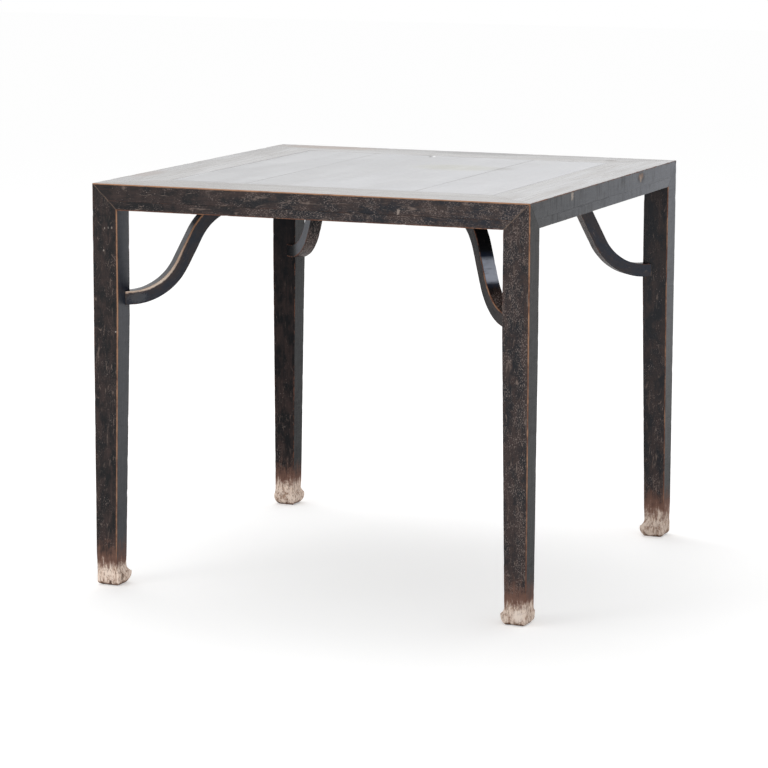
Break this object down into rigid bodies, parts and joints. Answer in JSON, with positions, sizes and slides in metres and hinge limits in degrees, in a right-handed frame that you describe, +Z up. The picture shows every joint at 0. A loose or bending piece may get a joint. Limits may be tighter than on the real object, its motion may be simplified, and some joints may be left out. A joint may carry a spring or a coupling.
{
  "type": "eight immortals table",
  "caption": "Square wooden table with rails flush with its corner legs, mitred top frame round flush boards, S-shaped corner braces and small inturned hoof feet.",
  "frame": {"origin": "on the floor under the middle of the table top", "axes": "+Z up, -Y towards the front of the table, +X to the right seen from the front"},
  "size_m": [0.95, 0.95, 0.84],
  "materials": {
    "black_lacquer": "worn black lacquer over dark wood, rubbed brown on the edges and bare on the feet",
    "lacquered_boards": "worn lacquer with a soft sheen, grain running front to back",
    "bare_wood": "unlacquered, darkened with age"
  },
  "bodies": {
    "root": {"frame_front": "black_lacquer", "frame_right": "black_lacquer", "frame_back": "black_lacquer", "frame_left": "black_lacquer", "board_left": "lacquered_boards", "board_middle": "lacquered_boards", "board_right": "lacquered_boards", "apron_front": "black_lacquer", "apron_right": "black_lacquer", "apron_back": "black_lacquer", "apron_left": "black_lacquer", "batten_front": "bare_wood", "batten_back": "bare_wood", "leg_front_left": "black_lacquer", "leg_front_right": "black_lacquer", "leg_back_right": "black_lacquer", "leg_back_left": "black_lacquer", "brace_front_left": "black_lacquer", "brace_front_right": "black_lacquer", "brace_back_right": "black_lacquer", "brace_back_left": "black_lacquer", "brace_wedge_front_left": "bare_wood", "brace_wedge_front_right": "bare_wood", "brace_wedge_back_right": "bare_wood", "brace_wedge_back_left": "bare_wood", "brace_pin_front_left": "bare_wood", "brace_pin_front_right": "bare_wood", "brace_pin_back_right": "bare_wood", "brace_pin_back_left": "bare_wood"}
  },
  "joints": []
}
